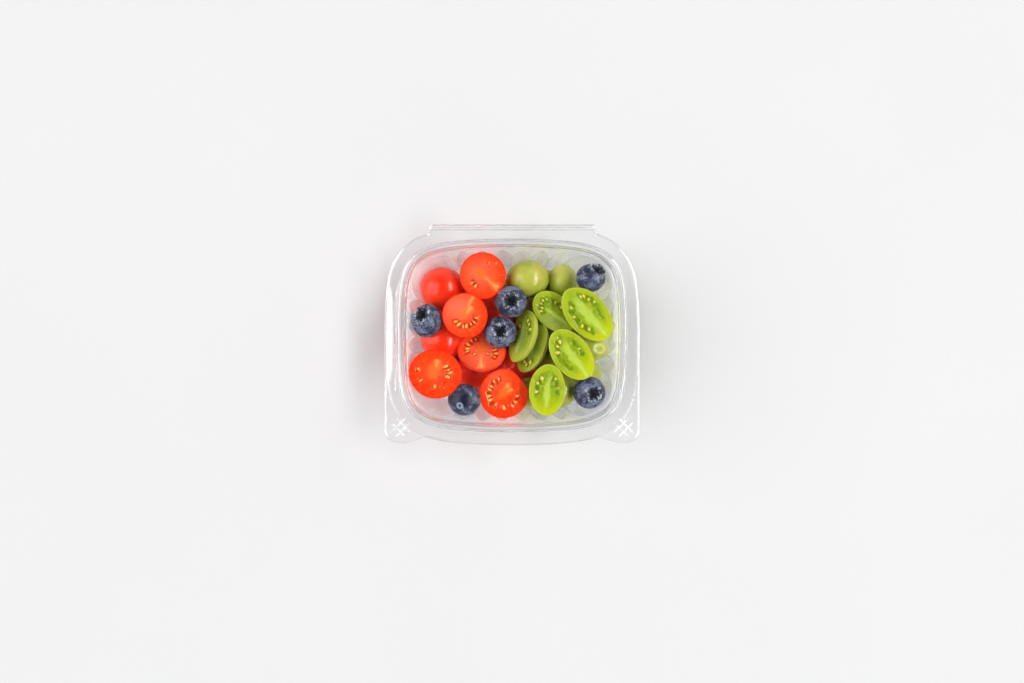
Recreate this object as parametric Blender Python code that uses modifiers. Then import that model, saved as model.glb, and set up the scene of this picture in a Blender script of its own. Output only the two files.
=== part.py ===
"""Hinged deli container, shut, filled with halved tomatoes and berries.

Metres, +Z up, the tabs at -Y and the hinge at +Y.  The origin is the middle of the foot, on the surface
that the container stands on.  The tray and the lid are thin formed sheets: each is a loft of rings
round one bowed outline, given its wall by Solidify.  The lid turns about the fold line at the rear.
"""
import math

import bmesh
import bpy
import numpy as np
from mathutils import Euler, Vector
from mathutils.bvhtree import BVHTree

MM = 0.001

# The opening's outline: half sizes, squareness, and how far the sides and the ends bow
HALF_X = 56.5 * MM
HALF_Y = 46.8 * MM
SQUARENESS = 6.4
BOW_X = 0.045
BOW_Y = 0.075

# Heights of the tray's upper surface, and the sheet
SHEET = 0.5 * MM
GAP = 0.3 * MM
FLANGE_Z = 44.0 * MM
RIDGE_Z = 48.0 * MM
WALL_TOP_Z = 44.5 * MM
FLOOR_Z = SHEET
PANEL_RISE = 1.0 * MM

# Distances out from the opening's outline
FLANGE_REACH = 11.5 * MM
RIDGE_FOOT = 4.3 * MM
RIDGE_OUTER = 3.9 * MM
RIDGE_INNER = 1.6 * MM
WALL_START = 0.8 * MM

# The fluted wall: round-topped flutes that bulge outwards below a sloping band
FLUTE_PITCH = 11.1 * MM
FLUTES_REAR = 6
FLUTES_SIDE = 4
BAND_SLOPE = math.tan(math.radians(21))
DRAFT_SLOPE = math.tan(math.radians(10))
FLUTE_START = 0.8 * MM
FLUTE_DEPTH = 2.1 * MM
WALL_DROPS = [3.9 * MM, 9 * MM, 14 * MM, 26 * MM, 39.5 * MM]
FOOT_ROUND = 4.0 * MM
FOOT_WIDTH = 8.5 * MM
FOOT_LEVELLING = 0.1 * MM
PANEL_SLOPE = 0.97
STEPS_PER_FLUTE = 3
STEPS_PER_CORNER = 5

# The lid's upper surface: it nests over the ridge and its panel sits down inside the opening
LID_FLANGE_Z = FLANGE_Z + GAP + SHEET
LID_RIDGE_Z = RIDGE_Z + GAP + SHEET
LID_PANEL_Z = 46.6 * MM
LID_FOOT = 5.2 * MM
LID_OUTER = 4.8 * MM
LID_INNER = 0.75 * MM
LID_STEPS = 100
CORNER_WEIGHT = 25 * MM

# The corner tabs of the lid: a straight side, then a lobe that falls back to the front edge
TAB_CENTRE = Vector((39.5 * MM, 29.8 * MM))
TAB_TURN = math.radians(36)
TAB_END = math.radians(78)
TAB_END_REACH = 24.8 * MM

# The hinge: both flanges run back to the fold line
HINGE_HALF = 44.1 * MM
HINGE_Y = 59.0 * MM
TONGUE_Y = HINGE_Y - 0.2 * MM
HINGE_Z = FLANGE_Z + GAP / 2
TONGUE_CORNER = 0.5 * MM

# The heap of fruit below the pieces that show
HEAP_LEVEL = 25.0 * MM
HEAP_FALL = 3.0 * MM
HEAP_SHOULDER = 10.0 * MM
HEAP_STEPS = 44
HEAP_SHARES = (0.95, 0.87, 0.76, 0.64, 0.5, 0.36, 0.22, 0.1)
HEAP_CLEARANCE = 1.0 * MM
HEAP_REACH = 4.0 * MM
HEAP_LUMP = 1.6 * MM
HEAP_LUMPS_AROUND = 12
HEAP_BOTTOM_Z = FLOOR_Z + PANEL_RISE + GAP
HEAP_FOOT = 3.0 * MM
HEAP_TUCK = 0.93

BERRY, RED, GREEN = "berry", "red", "green"
COLOURS = {
    BERRY: ((0.03, 0.045, 0.11, 1.0), 0.5),
    RED: ((0.82, 0.07, 0.02, 1.0), 0.25),
    GREEN: ((0.33, 0.45, 0.06, 1.0), 0.25),
    "film": ((0.86, 0.88, 0.88, 1.0), 0.08),
    "heap": ((0.5, 0.2, 0.04, 1.0), 0.35),
}

# Each piece of fruit, the lowest first: name, colour, cut in half or not, place in plan, the height at
# which its middle starts, half sizes, turn about Z, and lean about X and Y (mm and degrees).  A piece
# is lifted from its starting height until it is clear of those before it.
FRUIT = [
    ("low_red_1", RED, False, (-22.6, -22.5), 13.5, (11.2, 11.0, 10.6), 0, (0, 0)),
    ("low_red_2", RED, False, (3.0, -17.0), 13.0, (11.4, 10.8, 10.4), 20, (0, 0)),
    ("low_red_3", RED, False, (-10.5, 11.0), 14.0, (11.2, 11.4, 10.6), 0, (0, 0)),
    ("low_green_1", GREEN, False, (12.2, 10.0), 14.0, (10.2, 11.2, 9.6), 0, (0, 0)),
    ("red_whole_1", RED, False, (-38.0, 25.5), 24.0, (12.3, 12.2, 11.6), 0, (0, 0)),
    ("red_whole_2", RED, False, (-37.9, -1.4), 22.0, (12.2, 12.0, 11.4), 0, (0, 0)),
    ("green_whole_1", GREEN, False, (8.6, 31.0), 24.0, (11.7, 10.1, 9.8), 0, (0, 0)),
    ("green_whole_2", GREEN, False, (27.9, 29.5), 20.0, (8.2, 9.6, 8.8), 0, (0, 0)),
    ("green_whole_3", GREEN, False, (40.8, -6.2), 22.0, (11.3, 7.8, 7.8), -8, (0, 0)),
    ("green_whole_4", GREEN, False, (38.8, -20.4), 16.0, (10.0, 7.8, 7.8), 0, (0, 0)),
    ("green_whole_5", GREEN, False, (26.0, -29.8), 22.0, (9.2, 9.4, 9.2), 0, (0, 0)),
    ("red_half_3", RED, True, (-16.5, -8.4), 27.0, (13.2, 12.2, 8.8), 0, (-28, 0)),
    ("green_half_4", GREEN, True, (10.9, -6.8), 26.0, (14.0, 8.6, 7.4), 67, (-42, 0)),
    ("green_half_3", GREEN, True, (5.3, -0.4), 30.0, (14.6, 9.0, 7.6), 72, (-50, 0)),
    ("green_half_2", GREEN, True, (23.0, 13.0), 30.0, (13.6, 9.2, 8.2), -40, (0, 5)),
    ("green_half_5", GREEN, True, (32.0, -10.2), 34.0, (15.6, 9.9, 8.8), -52, (4, 0)),
    ("green_half_6", GREEN, True, (18.8, -29.2), 34.0, (13.8, 9.7, 8.8), 84, (0, 4)),
    ("green_half_1", GREEN, True, (40.6, 11.4), 38.0, (17.6, 10.7, 7.2), -49, (3, 0)),
    ("red_half_1", RED, True, (-15.7, 32.2), 35.0, (12.4, 12.8, 9.4), 0, (4, 0)),
    ("red_half_2", RED, True, (-25.35, 10.8), 36.0, (12.1, 12.3, 8.8), 0, (5, -4)),
    ("red_half_5", RED, True, (-4.3, -31.2), 36.0, (13.3, 13.4, 10.6), 0, (3, 2)),
    ("red_half_4", RED, True, (-41.3, -20.7), 42.0, (14.1, 13.2, 9.4), 0, (2, 2)),
    ("berry_1", BERRY, False, (-46.0, 8.0), 34.0, (8.0, 9.1, 7.0), -14, (0, 0)),
    ("berry_2", BERRY, False, (-0.4, 18.3), 34.0, (8.6, 8.6, 7.8), 0, (0, 0)),
    ("berry_3", BERRY, False, (-6.4, 1.8), 34.0, (8.8, 8.6, 7.8), 0, (0, 0)),
    ("berry_4", BERRY, False, (-25.8, -34.7), 33.0, (8.9, 8.6, 7.6), 0, (0, 0)),
    ("berry_5", BERRY, False, (41.8, -30.8), 30.0, (8.7, 8.7, 7.6), 0, (0, 0)),
    ("berry_6", BERRY, False, (42.5, 31.3), 33.0, (8.0, 7.6, 7.4), 0, (0, 0)),
]
FRUIT_SIDES = {BERRY: 10, RED: 12, GREEN: 12}
FRUIT_BANDS = 6
LIFT_STEP = 0.2 * MM


def clear_scene():
    for item in list(bpy.data.objects):
        bpy.data.objects.remove(item, do_unlink=True)


def make_material(name):
    colour, roughness = COLOURS[name]
    material = bpy.data.materials.new(name)
    material.use_nodes = True
    shader = material.node_tree.nodes["Principled BSDF"]
    shader.inputs["Base Color"].default_value = colour
    shader.inputs["Roughness"].default_value = roughness
    shader.inputs["Metallic"].default_value = 0.0
    if name == "film":
        shader.inputs["Transmission Weight"].default_value = 0.9
    return material


def opening_curve(samples=2880):
    """The opening's outline: a rounded square by the power rule, each side bowed by its own square."""
    angle = np.linspace(0.0, 2 * math.pi, samples, endpoint=False)
    across, along = np.cos(angle), np.sin(angle)
    reach = (np.abs(across) ** SQUARENESS + np.abs(along) ** SQUARENESS) ** (-1 / SQUARENESS)
    across, along = across * reach, along * reach
    side = HALF_X * across * (1 - BOW_X * along**2)
    end = HALF_Y * along * (1 - BOW_Y * across**2)
    points = np.stack([side, end], 1)
    tangent = np.roll(points, -1, 0) - np.roll(points, 1, 0)
    tangent /= np.linalg.norm(tangent, axis=1)[:, None]
    normals = np.stack([tangent[:, 1], -tangent[:, 0]], 1)
    return points, normals


def measure_along(points, normals, corner_weight):
    """The running length of a closed curve, with its turning counted as extra length."""
    step = np.linalg.norm(np.roll(points, -1, 0) - points, axis=1)
    turn = np.linalg.norm(np.roll(normals, -1, 0) - normals, axis=1)
    return np.concatenate([[0.0], np.cumsum(step + corner_weight * turn)])


class Outline:
    """Stations round the opening: places, outward normals, and the place within each flute."""

    def __init__(self, at, within=None, is_corner=None, corner_weight=0.0):
        points, normals = opening_curve()
        run = measure_along(points, normals, corner_weight)
        closed = [np.append(column, column[0]) for column in (*points.T, *normals.T)]
        x, y, nx, ny = (np.interp(np.asarray(at) % run[-1], run, column) for column in closed)
        self.points = np.stack([x, y], 1)
        self.normals = np.stack([nx, ny], 1) / np.hypot(nx, ny)[:, None]
        self.within = within
        self.is_corner = is_corner

    def ring(self, out, height):
        """One ring of 3-D points: moved out along the normals, or drawn in towards the middle."""
        out = np.broadcast_to(out, len(self.points))[:, None]
        shrunk = self.points * (1 + out / np.array([HALF_X, HALF_Y]))
        plan = np.where(out >= 0, self.points + self.normals * out, shrunk)
        return np.column_stack([plan, np.full(len(plan), height)])


def fluted_outline():
    """Stations that follow the flutes: the corner between two sides is one wide flute."""
    points, normals = opening_curve()
    run = measure_along(points, normals, 0.0)
    rear = (np.arange(FLUTES_REAR + 1) - FLUTES_REAR / 2) * FLUTE_PITCH
    side = (np.arange(FLUTES_SIDE + 1) - FLUTES_SIDE / 2) * FLUTE_PITCH
    edges = [(HALF_X, y) for y in side] + [(x, HALF_Y) for x in rear[::-1]]
    edges += [(-HALF_X, y) for y in side[::-1]] + [(x, -HALF_Y) for x in rear]
    marks = [run[int(np.argmin(np.hypot(*(points - edge).T)))] for edge in edges]
    for number in range(FLUTES_SIDE + 1):
        marks[number] -= run[-1] * (marks[number] > run[-1] / 2)
    corners = {FLUTES_SIDE, FLUTES_SIDE + 1 + FLUTES_REAR, 2 * FLUTES_SIDE + 2 + FLUTES_REAR, len(edges) - 1}
    at, within, is_corner = [], [], []
    for flute, start in enumerate(marks):
        end = marks[flute + 1] if flute + 1 < len(marks) else marks[0] + run[-1]
        steps = STEPS_PER_CORNER if flute in corners else STEPS_PER_FLUTE
        for share in np.arange(steps) / steps:
            at.append(start + (end - start) * share)
            within.append(2 * share - 1)
            is_corner.append(flute in corners)
    return Outline(at, np.array(within), np.array(is_corner))


def even_outline(steps, corner_weight):
    points, normals = opening_curve()
    total = measure_along(points, normals, corner_weight)[-1]
    return Outline(np.arange(steps) * total / steps, corner_weight=corner_weight)


def wall_inset(drop, within, is_corner):
    """How far in the wall has come at a drop below its top: the sloping band, or a flute once that is
    further out.  A flute's hollow follows the square of the place within it, a corner's is flat."""
    hollow = np.where(is_corner, np.abs(within) ** 8, within**2)
    return np.minimum(drop * BAND_SLOPE, FLUTE_START + drop * DRAFT_SLOPE + FLUTE_DEPTH * hollow)


def with_tongue(edge):
    """Runs the rear edge back to the fold line between the ends of the hinge."""
    ring = edge.copy()
    rear = np.where((ring[:, 1] > 0) & (np.abs(ring[:, 0]) < HINGE_HALF))[0]
    ring[rear, 1] = TONGUE_Y
    for end, beyond in ((rear[0], rear[0] - 1), (rear[-1], (rear[-1] + 1) % len(ring))):
        side = math.copysign(1.0, ring[end, 0])
        step_x = side * (HINGE_HALF + TONGUE_CORNER)
        share = (step_x - edge[end, 0]) / (edge[beyond, 0] - edge[end, 0])
        ring[end, 0] = side * HINGE_HALF
        ring[beyond] = edge[end] + share * (edge[beyond] - edge[end])
    return ring


def with_tabs(ring):
    """Straightens the sides in front of the middle and swells the front corners into tabs."""
    ring = ring.copy()
    side_x = HALF_X + FLANGE_REACH
    straight = side_x - TAB_CENTRE.x
    turn_reach = straight / math.cos(TAB_TURN)
    turn_rise = turn_reach * math.tan(TAB_TURN)
    for point in ring:
        side = math.copysign(1.0, point[0])
        away = Vector((abs(point[0]), -point[1])) - TAB_CENTRE
        if point[1] < 0 < away.x and away.y <= 0:
            point[0] = side * side_x
        if away.x <= 0 or away.y <= 0:
            continue
        angle = math.atan2(away.y, away.x)
        reach = straight / math.cos(min(angle, TAB_TURN))
        if angle > TAB_TURN:
            share = min((angle - TAB_TURN) / (TAB_END - TAB_TURN), 1.0)
            ease = share * share * (3 - 2 * share)
            rise = share * (1 - share) ** 2 * (TAB_END - TAB_TURN) * turn_rise
            reach = turn_reach * (1 - ease) + TAB_END_REACH * ease + rise
        reach = max(reach, away.length)
        point[0] = side * (TAB_CENTRE.x + reach * math.cos(angle))
        point[1] = -(TAB_CENTRE.y + reach * math.sin(angle))
    return ring


def loft(rings, close_first=False):
    """A surface over rings of equal length, the outermost or lowest first; the last ring is filled."""
    mesh = bpy.data.meshes.new("loft")
    count = len(rings[0])
    points = np.concatenate(rings)
    faces = []
    for level in range(len(rings) - 1):
        first = level * count
        for here in range(count):
            after = (here + 1) % count
            faces.append((first + here, first + after, first + count + after, first + count + here))
    last = (len(rings) - 1) * count
    faces.append(tuple(range(last, last + count)))
    if close_first:
        faces.append(tuple(reversed(range(count))))
    mesh.from_pydata(points.tolist(), [], faces)
    mesh.update()
    return mesh


def add_object(name, mesh, material, collection):
    mesh.name = name
    item = bpy.data.objects.new(name, mesh)
    mesh.materials.append(material)
    collection.objects.link(item)
    return item


def give_wall(item):
    wall = item.modifiers.new("wall", "SOLIDIFY")
    wall.thickness = SHEET
    wall.offset = -1.0
    wall.use_even_offset = True


def level_foot(item):
    """Makes the wall part of the mesh, and sets the foot's underside dead flat on the ground."""
    graph = bpy.context.evaluated_depsgraph_get()
    solid = bpy.data.meshes.new_from_object(item.evaluated_get(graph))
    item.modifiers.clear()
    item.data = solid
    for point in solid.vertices:
        if point.co.z < FOOT_LEVELLING:
            point.co.z = 0.0


def tray_mesh():
    outline = fluted_outline()
    flange = with_tongue(outline.ring(FLANGE_REACH, FLANGE_Z))
    rings = [flange, outline.ring(RIDGE_FOOT, FLANGE_Z), outline.ring(RIDGE_OUTER, RIDGE_Z)]
    rings += [outline.ring(RIDGE_INNER, RIDGE_Z), outline.ring(WALL_START, WALL_TOP_Z)]
    for drop in WALL_DROPS:
        inset = wall_inset(drop, outline.within, outline.is_corner)
        rings.append(outline.ring(WALL_START - inset, WALL_TOP_Z - drop))
    foot = wall_inset(WALL_DROPS[-1], outline.within, outline.is_corner)
    rise = WALL_TOP_Z - WALL_DROPS[-1] - FLOOR_Z
    quarter = math.cos(math.radians(45))
    middle = outline.ring(WALL_START - foot - (1 - quarter) * FOOT_ROUND, FLOOR_Z + (1 - quarter) * rise)
    inner = outline.ring(WALL_START - foot.mean() - FOOT_ROUND - FOOT_WIDTH, FLOOR_Z)
    rings += [middle, outline.ring(WALL_START - foot - FOOT_ROUND, FLOOR_Z), inner]
    rings.append(inner * (PANEL_SLOPE, PANEL_SLOPE, 1) + (0, 0, PANEL_RISE))
    return loft(rings)


def lid_mesh():
    outline = even_outline(LID_STEPS, CORNER_WEIGHT)
    flange = with_tabs(with_tongue(outline.ring(FLANGE_REACH, LID_FLANGE_Z)))
    rings = [flange, outline.ring(LID_FOOT, LID_FLANGE_Z), outline.ring(LID_OUTER, LID_RIDGE_Z)]
    rings += [outline.ring(LID_INNER, LID_RIDGE_Z), outline.ring(0.0, LID_PANEL_Z)]
    return loft(rings)


def fruit_mesh(kind, is_half, half_sizes):
    """An ellipsoid, or its lower half with a flat cut face on top."""
    shape = bmesh.new()
    bmesh.ops.create_uvsphere(shape, u_segments=FRUIT_SIDES[kind], v_segments=FRUIT_BANDS, radius=1.0)
    if is_half:
        bmesh.ops.bisect_plane(shape, geom=shape.verts[:] + shape.edges[:] + shape.faces[:],
                               plane_co=(0, 0, 0), plane_no=(0, 0, 1), clear_outer=True, dist=1e-5)
        rim = [edge for edge in shape.edges if edge.is_boundary]
        bmesh.ops.edgeloop_fill(shape, edges=rim)
    for point in shape.verts:
        point.co = Vector([value * size * MM for value, size in zip(point.co, half_sizes)])
    bmesh.ops.recalc_face_normals(shape, faces=shape.faces[:])
    mesh = bpy.data.meshes.new("fruit")
    shape.to_mesh(mesh)
    shape.free()
    return mesh


def tree_of(mesh, matrix, grow=0.0):
    points = [matrix @ (point.co + point.normal * grow) for point in mesh.vertices]
    return BVHTree.FromPolygons(points, [tuple(face.vertices) for face in mesh.polygons])


def place_fruit(item, place, start, turn, lean, others):
    """Sets a piece down at its place in plan and lifts it until it is clear of the others."""
    item.rotation_euler = Euler([math.radians(value) for value in (lean[0], lean[1], turn)])
    item.location = (place[0] * MM, place[1] * MM, start * MM)
    while True:
        matrix = item.rotation_euler.to_matrix().to_4x4()
        matrix.translation = item.location
        grown = tree_of(item.data, matrix, GAP)
        if not any(grown.overlap(other) for other in others):
            return tree_of(item.data, matrix)
        item.location.z += LIFT_STEP


def lowest_fruit(x, y, trees):
    """The height of the lowest fruit above a place, or none."""
    hits = [tree.ray_cast(Vector((x, y, 0)), Vector((0, 0, 1)))[0] for tree in trees]
    return min((hit.z for hit in hits if hit is not None), default=math.inf)


def heap_mesh(trees):
    """The fruit below: lumpy against the wall, and hollowed on top under each piece that lies on it."""
    outline = even_outline(HEAP_STEPS, 0.0)
    angle = np.arange(HEAP_STEPS) / HEAP_STEPS * 2 * math.pi
    rings = []
    for number, height in enumerate(np.linspace(HEAP_BOTTOM_Z + HEAP_FOOT, HEAP_SHOULDER, 3)):
        drop = WALL_TOP_Z - height
        inset = FLUTE_START + drop * DRAFT_SLOPE + FLUTE_DEPTH + HEAP_CLEARANCE
        lump = HEAP_LUMP * np.abs(np.sin(HEAP_LUMPS_AROUND / 2 * angle + number))
        rings.append(outline.ring(WALL_START - inset - lump, height))
    bottom = rings[0] * (HEAP_TUCK, HEAP_TUCK, 0)
    rings.insert(0, bottom + (0, 0, HEAP_BOTTOM_Z))
    crown = rings[-1]
    around = [(HEAP_REACH * dx, HEAP_REACH * dy) for dx in (-1, 0, 1) for dy in (-1, 0, 1)]
    for share in HEAP_SHARES:
        ring = crown * (share, share, 0)
        for point in ring:
            rest = min(lowest_fruit(point[0] + dx, point[1] + dy, trees) for dx, dy in around)
            rise = HEAP_LEVEL - HEAP_FALL * share**8
            point[2] = min(rise, rest - HEAP_CLEARANCE)
        rings.append(ring)
    return loft(rings, close_first=True)


def build():
    clear_scene()
    collection = bpy.data.collections.new("hinged_deli_container")
    bpy.context.scene.collection.children.link(collection)
    materials = {name: make_material(name) for name in COLOURS}

    tray = add_object("tray", tray_mesh(), materials["film"], collection)
    trees = [tree_of(tray.data, tray.matrix_world)]
    give_wall(tray)
    level_foot(tray)

    for name, kind, is_half, place, start, half_sizes, turn, lean in FRUIT:
        mesh = fruit_mesh(kind, is_half, half_sizes)
        item = add_object(name, mesh, materials[kind], collection)
        trees.append(place_fruit(item, place, start, turn, lean, trees))
        mesh.shade_smooth()
        mesh.set_sharp_from_angle(angle=math.radians(60))

    add_object("lower_fruit", heap_mesh(trees[1:]), materials["heap"], collection)

    hinge = bpy.data.objects.new("hinge_line", None)
    hinge.location = (0, HINGE_Y, HINGE_Z)
    collection.objects.link(hinge)
    lid = add_object("lid", lid_mesh(), materials["film"], collection)
    for point in lid.data.vertices:
        point.co -= hinge.location
    lid.parent = hinge
    give_wall(lid)


build()
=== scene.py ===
"""The looks of a hinged deli container, shut, with halved tomatoes and berries inside.

Metres, +Z up, the tabs at -Y and the hinge at +Y.  The film's two sheets are lofts of rings round one
bowed outline, as in the part's source.  Each fruit is one closed surface over a disc or a ball, whose
masks (gel, core, rim and so on) are worked out from the same formulas as its relief.
"""
import math
from functools import partial

import bpy
import numpy as np
from mathutils import Euler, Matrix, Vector


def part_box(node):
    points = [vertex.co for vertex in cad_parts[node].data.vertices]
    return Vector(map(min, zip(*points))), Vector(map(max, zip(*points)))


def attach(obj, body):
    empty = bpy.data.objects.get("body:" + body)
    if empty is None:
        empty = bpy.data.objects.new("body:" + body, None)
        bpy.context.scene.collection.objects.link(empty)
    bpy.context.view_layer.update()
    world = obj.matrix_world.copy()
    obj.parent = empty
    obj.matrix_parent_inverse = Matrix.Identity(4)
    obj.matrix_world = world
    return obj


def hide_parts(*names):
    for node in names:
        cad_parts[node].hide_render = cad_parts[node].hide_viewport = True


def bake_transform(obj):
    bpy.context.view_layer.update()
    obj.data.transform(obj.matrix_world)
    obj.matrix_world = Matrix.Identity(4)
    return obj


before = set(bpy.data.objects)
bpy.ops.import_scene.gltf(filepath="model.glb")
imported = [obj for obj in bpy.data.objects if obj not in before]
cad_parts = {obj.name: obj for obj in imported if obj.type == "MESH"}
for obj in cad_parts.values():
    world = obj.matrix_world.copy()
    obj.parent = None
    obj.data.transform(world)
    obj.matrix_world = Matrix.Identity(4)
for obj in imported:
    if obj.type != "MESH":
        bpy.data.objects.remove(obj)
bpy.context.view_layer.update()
MM = 0.001


# ---------------------------------------------------------------- materials

def srgb(red, green, blue):
    """A colour given 0 to 255, as the linear colour that a shader takes."""
    share = np.array([red, green, blue]) / 255
    linear = np.where(share <= 0.04045, share / 12.92, ((share + 0.055) / 1.055) ** 2.4)
    return (*linear.tolist(), 1.0)


def sign(operation, swapped=False):
    """The method behind one arithmetic sign: it adds a Math node."""
    def apply(self, other):
        pair = (other, self) if swapped else (self, other)
        return self.finish.node("ShaderNodeMath", {"operation": operation}, dict(enumerate(pair)))
    return apply


class Wire:
    """One output socket of a material's node."""

    def __init__(self, finish, socket):
        self.finish = finish
        self.socket = socket

    __add__, __radd__ = sign("ADD"), sign("ADD", True)
    __sub__, __rsub__ = sign("SUBTRACT"), sign("SUBTRACT", True)
    __mul__, __rmul__ = sign("MULTIPLY"), sign("MULTIPLY", True)


class Finish:
    """A material being made.  Each call adds a node and gives back the wire out of it."""

    def __init__(self, name):
        self.material = bpy.data.materials.new(name)
        self.material.use_nodes = True
        self.tree = self.material.node_tree
        self.tree.nodes.clear()

    def node(self, kind, settings=None, sockets=None, output=0):
        made = self.tree.nodes.new(kind)
        for key, value in (settings or {}).items():
            setattr(made, key, value)
        for key, value in (sockets or {}).items():
            if isinstance(value, Wire):
                self.tree.links.new(value.socket, made.inputs[key])
            else:
                made.inputs[key].default_value = value
        return Wire(self, made.outputs[output])

    def place(self):
        return self.node("ShaderNodeTexCoord", output="Object")

    def along(self, axis):
        """The place along one axis, in metres."""
        return self.node("ShaderNodeSeparateXYZ", None, {0: self.place()}, axis)

    def mask(self, name):
        return self.node("ShaderNodeAttribute", {"attribute_name": name}, output="Fac")

    def noise(self, scale, detail=3.0, roughness=0.5, distortion=0.0):
        """A cloud pattern over the piece's own place, its scale in clouds to the metre."""
        sockets = {"Vector": self.place(), "Scale": scale, "Detail": detail}
        sockets |= {"Roughness": roughness, "Distortion": distortion}
        return self.node("ShaderNodeTexNoise", None, sockets)

    def cells(self, scale):
        """The distance to the nearest of many scattered points."""
        return self.node("ShaderNodeTexVoronoi", None, {"Vector": self.place(), "Scale": scale})

    def step(self, value, low, high):
        """0 below low, 1 above high, and a smooth rise between; a high below low turns it round."""
        sockets = {"Value": value, "From Min": low, "From Max": high}
        return self.node("ShaderNodeMapRange", {"interpolation_type": "SMOOTHSTEP"}, sockets)

    def blend(self, share, first, second):
        """A colour between two, by a share."""
        return self.node("ShaderNodeMix", {"data_type": "RGBA"}, {0: share, 6: first, 7: second}, 2)

    def bump(self, height, distance, strength=1.0):
        sockets = {"Height": height, "Distance": distance, "Strength": strength}
        return self.node("ShaderNodeBump", None, sockets)

    def shader(self, base, roughness, normal=None, **constants):
        """A Principled shader; a constant's name has underscores for spaces."""
        sockets = {"Base Color": base, "Roughness": roughness}
        sockets |= {} if normal is None else {"Normal": normal}
        sockets |= {key.replace("_", " "): value for key, value in constants.items()}
        return self.node("ShaderNodeBsdfPrincipled", None, sockets)

    def output(self, surface):
        end = self.tree.nodes.new("ShaderNodeOutputMaterial")
        self.tree.links.new(surface.socket, end.inputs["Surface"])
        return self.material


def clear_film():
    """Clear formed film: nearly smooth, with faint flow waves; a white painted sheen, partly the film's
    haze, is mixed in on the slanting walls and faintly on the flanges, standing in for their bright
    reflections; lamps and scattered light go straight through it.  Slant is 0 where the film is seen
    square on and 1 where it is seen edge on."""
    finish = Finish("clear_film")
    step = finish.step
    haze = step(finish.noise(420, 4, 0.6), 0.5, 0.85)
    normal = finish.bump(finish.noise(60, 2, 0.4), 0.0001, 0.25)
    slant = finish.node("ShaderNodeLayerWeight", None, {"Blend": 0.5}, "Facing")
    body = 0.85 - 0.5 * step(slant, 0.3, 0.55) + 0.25 * step(slant, 0.72, 0.82)
    shoulder = step(slant, 0.012, 0.04) * step(slant, 0.35, 0.2)
    film = finish.shader((0.995, 0.995, 1.0, 1), 0.015 + 0.05 * haze, normal, IOR=1.5,
                         Transmission_Weight=1.0, Alpha=body, Coat_Weight=shoulder, Coat_IOR=1.6,
                         Coat_Roughness=0.03)
    height = finish.along("Z")
    wall = step(height, FLANGE_Z - 0.4 * MM, FLANGE_Z - 1.5 * MM)
    flange = step(height, FLANGE_Z - 0.8 * MM, FLANGE_Z - 0.2 * MM)
    flange = flange * step(height, LID_FLANGE_Z + 1.4 * MM, LID_FLANGE_Z + 0.6 * MM)
    # Painted sheen: white mixed in where the wall is seen at a slant and, a little, on the flanges, in
    # place of their bright reflections; partly the film's haze.
    painted_sheen_share = 0.55 * step(slant, 0.48, 0.64) - 0.33 * step(slant, 0.68, 0.8)
    haze_and_painted_sheen = finish.shader(srgb(247, 249, 252), 0.4, IOR=1.3)
    film = finish.node("ShaderNodeMixShader", None, {0: painted_sheen_share * wall + 0.03 * flange, 1: film, 2: haze_and_painted_sheen})
    passing = finish.node("ShaderNodeBsdfTransparent", None, {"Color": (1, 1, 1, 1)})
    for ray in ("Is Diffuse Ray", "Is Shadow Ray"):
        share = finish.node("ShaderNodeLightPath", output=ray)
        film = finish.node("ShaderNodeMixShader", None, {0: share, 1: film, 2: passing})
    return finish.output(film)


def pressed_film():
    """Where the film is pressed into a grip: frosted in patches, more so on the right-hand tab."""
    finish = Finish("pressed_film")
    cloud = finish.noise(700, 3, 0.6)
    strength = 0.7 + 0.2 * finish.step(finish.along("X"), -0.01, 0.01)
    alpha = 0.12 + strength * finish.step(cloud, 0.34, 0.52)
    normal = finish.bump(cloud, 0.0002, 0.6)
    return finish.output(finish.shader(srgb(250, 250, 251), 0.35 + 0.2 * cloud, normal, Alpha=alpha))


def red_skin(finish):
    """Ripe skin: scarlet clouded with orange, finely flecked; brown round the stem scar."""
    cloud = finish.step(finish.noise(75, 3, 0.55), 0.3, 0.7)
    colour = finish.blend(cloud, srgb(244, 32, 4), srgb(250, 60, 14))
    fleck = finish.step(finish.cells(1500), 0.16, 0.05)
    colour = finish.blend(0.25 * fleck, colour, srgb(255, 124, 60))
    return finish.blend(finish.mask("scar"), colour, srgb(150, 96, 40))


def green_skin(finish):
    """Unripe skin: olive green clouded with yellow and here and there a brown blush, finely flecked."""
    cloud = finish.step(finish.noise(70, 3, 0.6), 0.32, 0.68)
    colour = finish.blend(cloud, srgb(156, 166, 44), srgb(196, 198, 84))
    blush = finish.step(finish.noise(38, 2, 0.5), 0.56, 0.78)
    colour = finish.blend(0.5 * blush, colour, srgb(190, 142, 44))
    fleck = finish.step(finish.cells(1400), 0.2, 0.06)
    colour = finish.blend(0.35 * fleck, colour, srgb(208, 212, 116))
    return finish.blend(finish.mask("scar"), colour, srgb(206, 208, 132))


def whole_finish(name, skin):
    """Whole fruit: the skin alone, glossy, with fine pores and a little see-through."""
    finish = Finish(name)
    roughness = 0.13 + 0.09 * finish.noise(200, 3, 0.5) + 0.3 * finish.mask("scar")
    pores = finish.noise(900, 2, 0.5) * 0.3 + finish.noise(120, 2, 0.4)
    normal = finish.bump(pores, 0.00012, 0.35)
    return finish.output(finish.shader(skin(finish), roughness, normal, IOR=1.45, Subsurface_Weight=0.12,
                                       Subsurface_Scale=0.003, Subsurface_Radius=(1.0, 0.35, 0.15)))


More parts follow.
